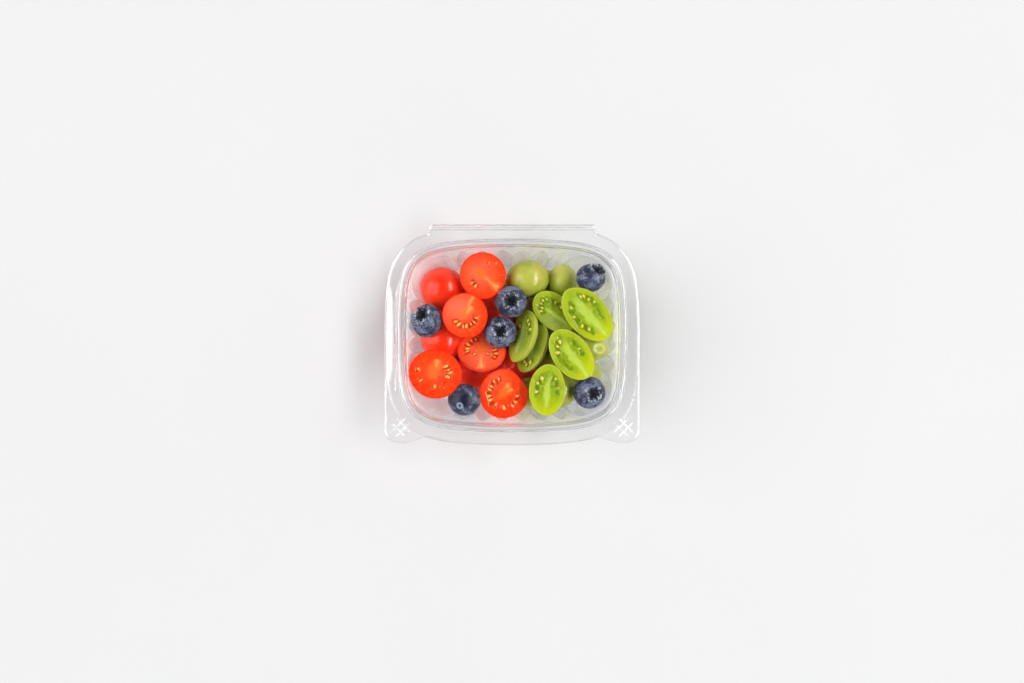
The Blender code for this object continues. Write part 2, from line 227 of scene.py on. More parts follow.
def cut_finish(name, skin, colours):
    """A halved fruit: skin outside; on the cut, flesh with fibres, wet gel that is darkest between the
    seeds, a paler core with strands running out of it, a pale patch of painted sheen, and the rim."""
    finish = Finish(name)
    mask, noise, blend = finish.mask, finish.noise, finish.blend
    colours = {part: srgb(*colour) for part, colour in colours.items()}
    cloud = finish.step(noise(180, 4, 0.6) * 0.6 + noise(760, 3, 0.6) * 0.4, 0.38, 0.62)
    speck = noise(900, 3, 0.6)
    gel = finish.step(noise(600, 3, 0.55), 0.35, 0.65)
    gel = blend(mask("deep"), blend(gel, colours["gel"], colours["gel_light"]), colours["gel_dark"])
    flesh = blend(cloud, colours["flesh"], colours["flesh_light"])
    for share, over in [
        (mask("wall") * (0.5 + 0.5 * cloud), colours["wall"]),
        (mask("ripe"), colours["ripe"]),
        (0.7 * mask("fibre"), colours["fibre"]),
        # the pale patch is painted sheen: a broad highlight laid on as a lighter colour
        (mask("pale") * (0.5 + 0.5 * noise(330, 4, 0.65)), colours["pale"]),
        (mask("core") * (0.6 + 0.5 * speck), colours["core"]),
        (mask("gel"), gel),
        (mask("streak") * (0.15 + 0.95 * speck), colours["streak"]),
        (mask("rim"), colours["rim"]),
    ]:
        flesh = blend(share, flesh, over)
    cut = mask("cut")
    roughness = 0.13 + cut * 0.1 * speck - mask("gel") * 0.04
    grain = noise(1500, 3, 0.6) * (0.4 + 0.6 * cut) + noise(300, 3, 0.5)
    shader = finish.shader(blend(cut, skin(finish), flesh), roughness, finish.bump(grain, 0.00007, 0.5),
                           Subsurface_Weight=0.15, Subsurface_Scale=0.003,
                           Subsurface_Radius=(1.0, 0.4, 0.15), IOR=1.34)
    return finish.output(shader)


def seed_finish(name, colour, dark):
    """Wet seeds: golden, darker at the tip and mottled, some duller than others."""
    finish = Finish(name)
    mottle = finish.step(finish.noise(1300, 3, 0.6), 0.3, 0.7)
    dull = finish.step(finish.noise(330, 1, 0.5), 0.42, 0.6)
    base = finish.blend(mottle * 0.35 + 0.3 * finish.mask("tip") + 0.35 * dull, colour, dark)
    normal = finish.bump(finish.noise(2400, 2, 0.5), 0.0001, 0.5)
    return finish.output(finish.shader(base, 0.18 + 0.2 * mottle, normal, IOR=1.45))


def berry_finish():
    """Berry skin: navy under a pale waxy bloom that is rubbed off in patches; the crown's lobes are dry
    and pale-edged, partly painted highlight, with painted glints round them; the pit is nearly black,
    partly painted shade."""
    finish = Finish("berry_bloom")
    mask, noise, step = finish.mask, finish.noise, finish.step
    patch = step(noise(150, 5, 0.72, 1.4), 0.44, 0.6)
    fine = step(noise(1100, 3, 0.65), 0.3, 0.7)
    bloom = (0.12 + 0.88 * patch) * (0.35 + 0.65 * fine) * (1 - mask("bare"))
    flecks = step(noise(520, 3, 0.7, 0.6), 0.5, 0.58)
    pale = srgb(206, 212, 228)
    colour = finish.blend(noise(260, 3, 0.6), srgb(7, 10, 30), srgb(20, 27, 54))
    # Painted light: the pale flecks in the belt round the crown are painted glints, those on the crown
    # are partly its dry pale lobes and partly painted highlight, and the pit's near-black is partly
    # painted shade over its own dark colour.
    for share, over in [(bloom, srgb(132, 141, 170)), (mask("halo") * flecks, pale),
                        (mask("pit"), srgb(5, 7, 18)), (mask("crown") * flecks, pale),
                        (mask("scar"), srgb(158, 164, 186))]:
        colour = finish.blend(share, colour, over)
    normal = finish.bump(fine + noise(420, 3, 0.6), 0.0001, 0.5)
    return finish.output(finish.shader(colour, 0.34 + 0.26 * bloom, normal, IOR=1.33))


def painted_shade_core_finish():
    """The depth of the heap, behind the fruit that shows: painted shade, dark red going to dark green."""
    finish = Finish("painted_shade_deep_fruit")
    cloud = finish.noise(160, 4, 0.6)
    side = finish.step(finish.along("X"), -0.004, 0.012)
    colour = finish.blend(side, srgb(128, 26, 8), srgb(66, 78, 26))
    colour = finish.blend(0.5 * cloud, colour, srgb(40, 18, 8))
    return finish.output(finish.shader(colour, 0.3 + 0.3 * cloud, finish.bump(cloud, 0.0006, 0.6)))


def floor_finish():
    """A pale sweep of paper, barely mottled."""
    finish = Finish("pale_paper")
    tone = finish.noise(6, 2, 0.5)
    colour = finish.blend(tone, srgb(218, 218, 219), srgb(222, 222, 223))
    normal = finish.bump(finish.noise(900), 0.00004)
    return finish.output(finish.shader(colour, 0.7 + 0.1 * tone, normal, Specular_IOR_Level=0.1))


# The pale colour of each cut is painted sheen, laid where a broad highlight falls.
RED_CUT = {
    "flesh": (249, 50, 2), "flesh_light": (252, 74, 14), "wall": (252, 56, 2),
    "fibre": (254, 92, 34), "ripe": (246, 40, 2), "pale": (255, 132, 96),
    "core": (255, 112, 40), "gel": (214, 50, 4), "gel_light": (240, 88, 18),
    "gel_dark": (172, 30, 2), "streak": (255, 212, 112), "rim": (247, 36, 2),
}
GREEN_CUT = {
    "flesh": (122, 148, 4), "flesh_light": (158, 180, 20), "wall": (172, 188, 34),
    "fibre": (166, 192, 42), "ripe": (196, 208, 6), "pale": (184, 196, 104),
    "core": (190, 214, 84), "gel": (118, 146, 4), "gel_light": (148, 174, 18),
    "gel_dark": (88, 116, 4), "streak": (224, 238, 146), "rim": (188, 198, 66),
}


# ---------------------------------------------------------------- meshes

def ring_faces(rings, around):
    """Quads between rings of points, and a fan at each end to its pole, all facing outwards when the
    rings run from the top pole down and each ring runs counter-clockwise seen from above."""
    level, place = np.meshgrid(np.arange(rings - 1), np.arange(around), indexing="ij")
    after = (place + 1) % around
    quads = np.stack([level, level + 1, level + 1, level], -1) * around
    quads = (quads + np.stack([place, place, after, after], -1)).reshape(-1, 4)
    here, after = np.arange(around), (np.arange(around) + 1) % around
    top, bottom, last = rings * around, rings * around + 1, (rings - 1) * around
    first_fan = np.stack([np.full(around, top), here, after], 1)
    last_fan = np.stack([np.full(around, bottom), last + after, last + here], 1)
    return quads, np.concatenate([first_fan, last_fan])


def add_piece(name, shape, material, body, nodes=(), slot=None):
    """Makes a smooth-shaded piece of a shape: its points, four-cornered faces, three-cornered faces
    and masks.  The piece rides on a body and stands for CAD nodes."""
    points, quads, fans, masks = shape
    mesh = bpy.data.meshes.new(name)
    corners = np.concatenate([quads.ravel(), fans.ravel()]).astype(np.int32)
    sizes = np.concatenate([np.full(len(quads), 4), np.full(len(fans), 3)])
    mesh.vertices.add(len(points))
    mesh.vertices.foreach_set("co", np.asarray(points, np.float32).ravel())
    mesh.loops.add(len(corners))
    mesh.loops.foreach_set("vertex_index", corners)
    mesh.polygons.add(len(sizes))
    mesh.polygons.foreach_set("loop_start", running(sizes)[:-1].astype(np.int32))
    mesh.update(calc_edges=True)
    mesh.validate()
    mesh.shade_smooth()
    for key, values in masks.items():
        field = mesh.attributes.new(key, "FLOAT", "POINT")
        field.data.foreach_set("value", np.asarray(values, np.float32).ravel())
    piece = bpy.data.objects.new(name, mesh)
    bpy.context.scene.collection.objects.link(piece)
    mesh.materials.append(material)
    if body:
        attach(piece, body)
    if nodes:
        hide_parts(*nodes)
    return piece


def closed_shape(rings, poles, masks=None):
    """A closed surface from rings (an array of rings, points, 3) and its two poles.  Each mask is an
    array over the rings, with its values at the two poles after it."""
    points = np.concatenate([rings.reshape(-1, 3), np.asarray(poles)])
    flat = {key: np.concatenate([field.ravel(), ends]) for key, (field, ends) in (masks or {}).items()}
    return points, *ring_faces(*rings.shape[:2]), flat


def joined(parts):
    """Several shapes as one."""
    starts = running([len(part[0]) for part in parts])
    quads, fans = (np.concatenate([part[which] + start for part, start in zip(parts, starts)])
                   for which in (1, 2))
    masks = {key: np.concatenate([part[3][key] for part in parts]) for key in parts[0][3]}
    return np.concatenate([part[0] for part in parts]), quads, fans, masks


def running(steps):
    """The running total of some steps, from nought."""
    return np.concatenate([[0], np.cumsum(steps)])


def bell(value, width):
    """1 at nought, falling away smoothly on both sides over a width."""
    return np.exp(-(value / width) ** 2)


def smooth(value, low, high):
    """The smooth rise of a value from 0 at low to 1 at high."""
    share = np.clip((value - low) / (high - low), 0, 1)
    return share * share * (3 - 2 * share)


# ---------------------------------------------------------------- the film: tray, lid and hinge

HALF = np.array([56.5, 46.8]) * MM
SQUARENESS = 6.4
BOWS = (0.045, 0.075)
SHEET = 0.5 * MM
FLANGE_Z, RIDGE_Z, WALL_TOP_Z = 44.0 * MM, 48.0 * MM, 44.5 * MM
FLANGE_REACH = 11.5 * MM
WALL_START = 0.8 * MM
FLUTE_PITCH, FLUTES_REAR, FLUTES_SIDE = 11.1 * MM, 6, 4
BAND_SLOPE, DRAFT_SLOPE = math.tan(math.radians(21)), math.tan(math.radians(10))
FLUTE_START, FLUTE_DEPTH = 0.8 * MM, 2.1 * MM
RIDGE_FOOT, RIDGE_OUTER, RIDGE_INNER = 4.3 * MM, 3.9 * MM, 1.6 * MM
LID_FOOT, LID_OUTER, LID_INNER = 5.2 * MM, 4.8 * MM, 0.75 * MM
FOOT_INNER = -21.0 * MM
CREASES, CREASE_SIZE = (57.8 * MM, 56.5 * MM), 0.3 * MM
WALL_HEIGHT, FOOT_ROUND, PANEL_RISE = 39.5 * MM, 4.0 * MM, 1.0 * MM
LID_FLANGE_Z, LID_RIDGE_Z, LID_PANEL_Z = 44.8 * MM, 48.8 * MM, 46.6 * MM
TAB_CENTRE = np.array([39.5, 29.8]) * MM
TAB_TURN, TAB_END, TAB_END_REACH = math.radians(36), math.radians(78), 24.8 * MM
HINGE_HALF, TONGUE_Y, HINGE_Z = 44.1 * MM, 58.8 * MM, 44.15 * MM
LIP = 0.4 * MM
GRIP_CENTRE = np.array([59.6, -49.2]) * MM


def opening_curve(samples=11520):
    """The opening's outline: a rounded square by the power rule, each side bowed by its own square."""
    angle = np.linspace(0.0, 2 * math.pi, samples, endpoint=False)
    across, along = np.cos(angle), np.sin(angle)
    reach = (np.abs(across) ** SQUARENESS + np.abs(along) ** SQUARENESS) ** (-1 / SQUARENESS)
    across, along = across * reach, along * reach
    side = HALF[0] * across * (1 - BOWS[0] * along**2)
    end = HALF[1] * along * (1 - BOWS[1] * across**2)
    points = np.stack([side, end], 1)
    tangent = np.roll(points, -1, 0) - np.roll(points, 1, 0)
    tangent /= np.linalg.norm(tangent, axis=1)[:, None]
    return points, np.stack([tangent[:, 1], -tangent[:, 0]], 1)


class Outline:
    """Stations round the opening: places, outward normals, and the place within each flute."""

    def __init__(self, run, at, within=None, is_corner=None):
        points, normals = opening_curve()
        closed = [np.append(column, column[0]) for column in (*points.T, *normals.T)]
        x, y, nx, ny = (np.interp(np.asarray(at) % run[-1], run, column) for column in closed)
        self.points = np.stack([x, y], 1)
        self.normals = np.stack([nx, ny], 1) / np.hypot(nx, ny)[:, None]
        self.within = within
        self.is_corner = is_corner

    def ring(self, out, height):
        """One ring of 3-D points: moved out along the normals, or drawn in towards the middle."""
        out = np.broadcast_to(out, len(self.points))[:, None]
        plan = np.where(out >= 0, self.points + self.normals * out, self.points * (1 + out / HALF))
        return np.column_stack([plan, np.full(len(plan), height)])


def fluted_outline(per_flute=14, per_corner=40):
    """Stations that follow the flutes: the corner between two sides is one wide flute."""
    points, _ = opening_curve()
    run = running(np.linalg.norm(np.roll(points, -1, 0) - points, axis=1))
    rear = (np.arange(FLUTES_REAR + 1) - FLUTES_REAR / 2) * FLUTE_PITCH
    side = (np.arange(FLUTES_SIDE + 1) - FLUTES_SIDE / 2) * FLUTE_PITCH
    edges = [(HALF[0], y) for y in side] + [(x, HALF[1]) for x in rear[::-1]]
    edges += [(-HALF[0], y) for y in side[::-1]] + [(x, -HALF[1]) for x in rear]
    marks = np.array([run[int(np.argmin(np.hypot(*(points - edge).T)))] for edge in edges])
    marks[:FLUTES_SIDE + 1] -= run[-1] * (marks[:FLUTES_SIDE + 1] > run[-1] / 2)
    marks = np.append(marks, marks[0] + run[-1])
    corners = np.cumsum([len(side), len(rear)] * 2) - 1
    steps = np.where(np.isin(np.arange(len(edges)), corners), per_corner, per_flute)
    share = np.concatenate([np.arange(count) / count for count in steps])
    flute = np.repeat(np.arange(len(edges)), steps)
    at = marks[flute] + (marks[flute + 1] - marks[flute]) * share
    return Outline(run, at, 2 * share - 1, np.isin(flute, corners))


def lid_outline(count=430):
    """Stations closer together where the outline turns, and closest on the two tabs."""
    points, normals = opening_curve()
    step = np.linalg.norm(np.roll(points, -1, 0) - points, axis=1)
    run = running(step)
    turn = np.linalg.norm(np.roll(normals, -1, 0) - normals, axis=1)
    on_tab = smooth(np.abs(points[:, 0]), 42 * MM, 47 * MM) * smooth(-points[:, 1], 30 * MM, 36 * MM)
    weight = running(step * (1 + 5.5 * on_tab) + 18 * MM * turn)
    at = np.interp(np.arange(count) / count * weight[-1], weight, run)
    return Outline(run, at)


def soft_least(first, second, width):
    """The lesser of two values, with the change from one to the other rounded over a width."""
    share = np.clip(0.5 + 0.5 * (second - first) / width, 0, 1)
    return second * (1 - share) + first * share - width * share * (1 - share)


def wall_inset(drop, outline):
    """How far in the wall has come at a drop below its top: the sloping band, or a flute once that is
    further out.  A flute's hollow follows the square of the place within it, a corner's is flat."""
    within = np.abs(outline.within)
    hollow = np.where(outline.is_corner, within**8, within**2)
    flute = FLUTE_START + drop * DRAFT_SLOPE + FLUTE_DEPTH * hollow
    return soft_least(drop * BAND_SLOPE, flute, 0.2 * MM)


def rounded(rings, rounding, steps=5, runs=3):
    """A profile of rings with each corner replaced by a curve that starts a given distance before it
    and ends that far after it; a straight run gets a few rings of its own."""
    made = [rings[0]]
    for number in range(1, len(rings) - 1):
        corner, reach = rings[number], rounding[number]
        if not reach:
            made.append(corner)
            continue
        before, after = rings[number - 1] - corner, rings[number + 1] - corner
        legs = []
        for leg in (before, after):
            length = np.linalg.norm(leg, axis=-1, keepdims=True)
            legs.append(leg * np.minimum(reach / np.maximum(length, 1e-9), 0.48))
        start = corner + legs[0]
        made += [made[-1] + (start - made[-1]) * share for share in np.arange(1, runs) / runs]
        for share in np.arange(steps + 1) / steps:
            made.append(corner + legs[0] * (1 - share) ** 2 + legs[1] * share**2)
    made += [made[-1] + (rings[-1] - made[-1]) * share for share in np.arange(1, runs + 1) / runs]
    return np.array(made)


def sheet_shape(rings, centre_z):
    """A thin closed sheet under a surface of rings, the outermost first: its underside is set back
    along the surface's own normals, and its rim is rounded over."""
    centre = np.array([0, 0, centre_z])
    inner = [centre + (rings[-1] - centre) * share for share in (0.75, 0.5, 0.25, 0.06)]
    rings = np.concatenate([rings, inner])
    along = np.roll(rings, -1, 1) - np.roll(rings, 1, 1)
    inward = np.gradient(rings, axis=0)
    normal = np.cross(along, inward)
    normal /= np.maximum(np.linalg.norm(normal, axis=-1, keepdims=True), 1e-12)
    under = rings - normal * SHEET
    outward = -inward[0] / np.linalg.norm(inward[0], axis=-1, keepdims=True)
    middle = (rings[0] + under[0]) / 2
    rim = [middle + normal[0] * SHEET / 2 * math.cos(turn) + outward * SHEET / 2 * math.sin(turn)
           for turn in np.radians([30, 60, 90, 120, 150])]
    whole = np.concatenate([rings[::-1], rim, under])
    return closed_shape(whole, [centre, centre - (0, 0, SHEET)])


def with_tongue(edge):
    """Runs the rear edge back to the fold line between the ends of the hinge."""
    ring = edge.copy()
    rear = np.where((ring[:, 1] > 0) & (np.abs(ring[:, 0]) < HINGE_HALF))[0]
    ring[rear, 1] = TONGUE_Y
    for end in (rear[0], rear[-1]):
        ring[end, 0] = math.copysign(HINGE_HALF, ring[end, 0])
    return ring


def with_tabs(ring):
    """Straightens the sides in front of the middle and swells the front corners into tabs: about the
    tab's centre the reach is that of a straight side, then eases back to the front edge."""
    ring = ring.copy()
    side_x = HALF[0] + FLANGE_REACH
    straight = side_x - TAB_CENTRE[0]
    turn_reach = straight / math.cos(TAB_TURN)
    side = np.sign(ring[:, 0])
    away = np.stack([np.abs(ring[:, 0]), -ring[:, 1]], 1) - TAB_CENTRE
    beside = (ring[:, 1] < 0) & (away[:, 0] > 0) & (away[:, 1] <= 0)
    ring[:, 0] = np.where(beside, side * side_x, ring[:, 0])
    angle = np.arctan2(away[:, 1], away[:, 0])
    share = np.clip((angle - TAB_TURN) / (TAB_END - TAB_TURN), 0, 1)
    ease = share * share * (3 - 2 * share)
    rise = share * (1 - share) ** 2 * (TAB_END - TAB_TURN) * turn_reach * math.tan(TAB_TURN)
    lobe = turn_reach * (1 - ease) + TAB_END_REACH * ease + rise
    reach = np.where(angle > TAB_TURN, lobe, straight / np.cos(np.minimum(angle, TAB_TURN)))
    reach = np.maximum(reach, np.hypot(*away.T))
    on_tab = (away[:, 0] > 0) & (away[:, 1] > 0)
    ring[:, 0] = np.where(on_tab, side * (TAB_CENTRE[0] + reach * np.cos(angle)), ring[:, 0])
    ring[:, 1] = np.where(on_tab, -(TAB_CENTRE[1] + reach * np.sin(angle)), ring[:, 1])
    return ring


def build_grips():
    """The press grip on each tab: two pairs of low roof-shaped bars crossed at a slant, with a small
    diamond left open in the middle."""
    half_width, half_length, spacing, rise = 0.42 * MM, 5.4 * MM, 1.7 * MM, 0.44
    share = np.linspace(-1, 1, 24)
    half = np.sqrt(np.clip(1 - share**6, 0, 1)) * half_width
    profile = np.array([(-1, -0.1), (-0.92, 0.05), (-0.12, 0.92), (0.12, 0.92), (0.92, 0.05), (1, -0.1)])
    bar = np.stack([np.outer(half, profile[:, 0]),
                    np.repeat(share[:, None] * half_length, len(profile), 1),
                    np.outer(half, profile[:, 1]) * rise], -1)
    bars = []
    for side, turn, aside in [(s, t, a) for s in (-1, 1) for t in (-45, 45) for a in (-1, 1)]:
        turned = bar.copy()
        cos, sin = math.cos(math.radians(turn)), math.sin(math.radians(turn))
        x, y = bar[..., 0] + aside * spacing, bar[..., 1]
        turned[..., 0], turned[..., 1] = x * cos - y * sin, x * sin + y * cos
        placed = turned[::-1] + (side * GRIP_CENTRE[0], GRIP_CENTRE[1], LID_FLANGE_Z)
        bars.append(closed_shape(placed, placed[[0, -1]].mean(1)))
    add_piece("press_grips", joined(bars), pressed_film(), "lid", (), "clear_sheet")


def left_bulge(ring, inward):
    """How far the left flanges bow up, by the distance in from their edge: most half way along."""
    along = np.clip(1 - (ring[:, 1] / (33 * MM)) ** 2, 0, 1) * (ring[:, 0] < -50 * MM)
    share = np.clip(inward / (6.3 * MM), 0, 1)
    return 1.5 * MM * along * (1 - (1 - share) ** 2) * smooth(share, 1.0, 0.8)


def build_tray(film):
    outline = fluted_outline()
    flange = with_tongue(outline.ring(FLANGE_REACH, FLANGE_Z))
    foot = outline.ring(RIDGE_FOOT, FLANGE_Z)
    shares = np.array([0, 0.02, 0.04, 0.07, 0.12, 0.2, 0.3, 0.42, 0.54, 0.65, 0.72, 0.79, 0.88])
    flat = [flange + (foot - flange) * share for share in shares]
    width = np.linalg.norm(foot - flange, axis=1)
    for share, ring in zip(shares, flat):
        ring[:, 2] += left_bulge(ring, share * width)
        ring[:, 2] -= LIP * (np.abs(ring[:, 1]) < TONGUE_Y - 3 * MM) * smooth(share, 0.12, 0.0)
    rings = flat + [foot, outline.ring(RIDGE_OUTER, RIDGE_Z), outline.ring(RIDGE_INNER, RIDGE_Z)]
    rounding = [0] * len(flat) + [0.9 * MM, 1.1 * MM, 0.8 * MM, 0.5 * MM]
    rings.append(outline.ring(WALL_START, WALL_TOP_Z))
    drops = np.concatenate([np.linspace(0.8, 11, 20), np.linspace(12.2, 39.5, 12)]) * MM
    for drop in drops:
        rings.append(outline.ring(WALL_START - wall_inset(drop, outline), WALL_TOP_Z - drop))
        rounding.append(0)
    inset = wall_inset(WALL_HEIGHT, outline)
    rise = WALL_TOP_Z - WALL_HEIGHT - SHEET
    for turn in np.radians([20, 40, 60, 75, 90]):
        reach = WALL_START - inset - FOOT_ROUND * (1 - math.cos(turn))
        rings.append(outline.ring(reach, SHEET + rise * (1 - math.sin(turn))))
    inner = outline.ring(FOOT_INNER, SHEET)
    rings += [inner, inner * (0.97, 0.97, 1) + (0, 0, PANEL_RISE)]
    rings.append(rings[-1] * (0.9, 0.9, 1))
    rounding += [0] * 5 + [1.2 * MM, 1.2 * MM, 0]
    shape = sheet_shape(rounded(rings, rounding), SHEET + PANEL_RISE)
    add_piece("tray_film", shape, film, "tray", ["tray"], "clear_sheet")


def build_lid(film):
    outline = lid_outline()
    flange = with_tabs(with_tongue(outline.ring(FLANGE_REACH, LID_FLANGE_Z)))
    foot = outline.ring(LID_FOOT, LID_FLANGE_Z)
    even = np.linspace(0, 1, 58)[:-1]
    shares = even + 0.55 * np.sin(2 * math.pi * even) / (2 * math.pi)
    rings = [flange + (foot - flange) * share for share in shares]
    width = np.linalg.norm(foot - flange, axis=1)
    for share, ring in zip(shares, rings):
        ring[:, 2] += LIP * smooth(share * width, 0.9 * MM, 0.0)
        crease = (ring[:, 1] > 0) * (np.abs(ring[:, 0]) < HINGE_HALF)
        lines = bell(ring[:, 1] - CREASES[0], CREASE_SIZE) + bell(ring[:, 1] - CREASES[1], CREASE_SIZE)
        ring[:, 2] += CREASE_SIZE * crease * lines
        ring[:, 2] += left_bulge(ring, share * width)
    rings += [foot, outline.ring(LID_OUTER, LID_RIDGE_Z), outline.ring(LID_INNER, LID_RIDGE_Z),
              outline.ring(0.0, LID_PANEL_Z), outline.ring(-6 * MM, LID_PANEL_Z)]
    rounding = [0] * len(shares) + [0.9 * MM, 1.3 * MM, 0.8 * MM, 0.7 * MM, 0]
    shape = sheet_shape(rounded(rings, rounding), LID_PANEL_Z)
    add_piece("lid_film", shape, film, "lid", ["lid"], "clear_sheet")


def build_hinge(film):
    """The fold between the sheets: a half round of film along the hinge line, closed at its ends."""
    along = np.linspace(-HINGE_HALF, HINGE_HALF, 90)
    turn = np.radians(np.linspace(-90, 90, 15))
    outer, inner = (np.stack([np.cos(turn) * radius * MM, np.sin(turn) * radius * MM], 1)
                    for radius in (0.6, 0.25))
    section = np.concatenate([outer, inner[::-1]]) + (TONGUE_Y + 0.02 * MM, HINGE_Z)
    rings = np.zeros((len(along), len(section), 3))
    rings[:, :, 0] = along[:, None]
    rings[:, :, 1:] = section[None]
    piece = add_piece("hinge_fold", closed_shape(rings[:, ::-1], rings[[0, -1]].mean(1)), film, None)
    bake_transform(piece)


# ---------------------------------------------------------------- the fruit

def wobble(direction, seed, amount):
    """A slow unevenness over directions: a few sine waves with seeded slants."""
    draw = np.random.default_rng(seed)
    total = np.zeros(direction.shape[:-1])
    for _ in range(5):
        slant = draw.normal(size=3) * 2.2
        total += np.sin(direction @ slant + draw.uniform(0, 2 * math.pi))
    return 1 + amount * total / 5


def settled(points, node, turn, lean):
    """Points turned and leaned as the CAD node is, with the middle of their box on the node's."""
    matrix = np.array(Euler([math.radians(value) for value in (*lean, turn)]).to_matrix())
    points = points @ matrix.T
    low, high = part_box(node)
    middle = (np.array(low) + np.array(high)) / 2
    flat = points.reshape(-1, 3)
    return points + middle - (flat.min(0) + flat.max(0)) / 2


def ball_shape(sizes, pole, end, seed, uneven=0.012, rings=64, around=96, gather=1.15):
    """An uneven ellipsoid whose rings run round one pole.  Its end gives the relief (in mm, outwards)
    and the masks, by the angle from that pole and the turn round it."""
    polar = math.pi * ((np.arange(rings) + 1) / (rings + 1)) ** gather
    polar, turn = np.meshgrid(polar, np.arange(around) / around * 2 * math.pi, indexing="ij")
    polar = np.concatenate([polar.ravel(), [0.0, math.pi]])
    turn = np.concatenate([turn.ravel(), [0.0, 0.0]])
    unit = np.stack([np.sin(polar) * np.cos(turn), np.sin(polar) * np.sin(turn), np.cos(polar)], 1)
    facing = np.array(Vector((0, 0, 1)).rotation_difference(Vector(pole)).to_matrix())
    unit = unit @ facing.T
    sizes = np.array(sizes) * MM
    normal = unit / sizes
    normal /= np.linalg.norm(normal, axis=1)[:, None]
    relief, masks = end(polar, turn)
    points = unit * sizes * wobble(unit, seed, uneven)[:, None] + normal * (relief * MM)[:, None]
    return points, *ring_faces(rings, around), masks


def tomato_end(polar, turn, place=0.1, width=0.055, depth=0.25):
    """A shallow dimple at the stem end, with a corky ring where the stem was, and a tiny point at
    the other end."""
    dimple = -0.9 * bell(polar, 0.22) + 0.25 * bell(polar - 0.13, 0.05)
    scar = bell(polar - place, width) * (1 - depth + depth * np.cos(5 * turn))
    return dimple + 0.3 * bell(polar - math.pi, 0.09), {"scar": scar}


def crown_end(polar, turn, radius):
    """A berry's crown: flared ragged lobes about a deep pit, and outside them a ragged belt of painted
    glints on bits of the dry crown."""
    away = polar * radius
    lobe = np.abs(np.cos(2.5 * turn + 0.9 * np.sin(turn + 1))) ** 0.6
    ragged = 0.25 * np.sin(11 * turn + 1) + 0.25 * np.sin(19 * turn) + 0.16 * np.sin(31 * turn + 2)
    beyond = away - (2.9 + 1.15 * lobe + 1.1 * ragged)
    pit = -1.7 * smooth(away, 3.1, 1.7) + 0.4 * bell(away, 0.5)
    relief = (0.3 + 0.8 * lobe + ragged) * bell(beyond, 0.45) + pit * (1 + 0.15 * np.sin(7 * turn))
    halo = 0.75 * bell(beyond - 0.4 - 0.5 * np.sin(7 * turn + 1), 0.9)
    return relief, {"crown": bell(beyond - 0.1, 0.6), "pit": smooth(beyond, 0.1, -0.5), "halo": halo}


def stem_end(polar, turn, radius):
    """A berry's stem end: a small dished scar with a raised ring, and beside it one broad patch
    where the bloom is rubbed off."""
    away = polar * radius
    relief = 0.2 * bell(away - 1.35, 0.35) - 0.5 * bell(away, 0.8)
    bare = smooth(np.hypot(away * np.cos(turn) - 3.4, away * np.sin(turn) - 3.0), 4.4, 3.2)
    return relief, {"scar": bell(away - 1.4, 0.5), "bare": bare}


def lower_crown(polar, turn):
    """The crown of a berry in the depth, without the belt of painted glints."""
    relief, masks = crown_end(polar, turn, 7.5)
    return relief, {key: masks[key] for key in ("crown", "pit")}


def lumps(polar, turn):
    """The unevenness of the heap's core."""
    return 0.9 * np.sin(7 * turn) * np.sin(polar) + 0.7 * np.sin(11 * polar + 2 * turn), {}


def build_whole(node, sizes, turn, pole, seed, material, slot):
    """A whole tomato, or a berry whose crown or stem scar faces a given way."""
    end, detail = ENDS.get(node, tomato_end), ()
    if slot == "berry_skin":
        end, detail = partial(ENDS.get(node, crown_end), radius=sizes[0]), BERRY_DETAIL
    points, *rest = ball_shape(sizes, pole, end, seed, *detail)
    shape = (settled(points, node, turn, (0, 0)), *rest)
    add_piece(node + "_fruit", shape, material, "tray", [node], slot)


# The fruit whose upper end is unlike the rest: a broad pale ring where a large stem was, and a berry
# with its stem end up
ENDS = {"green_whole_3": partial(tomato_end, place=0.3, width=0.08, depth=0.15), "berry_4": stem_end}
BERRY_DETAIL = (0.015, 84, 130, 1.35)


def wrapped(angle):
    """An angle brought to within half a turn of zero."""
    return (angle + math.pi) % (2 * math.pi) - math.pi


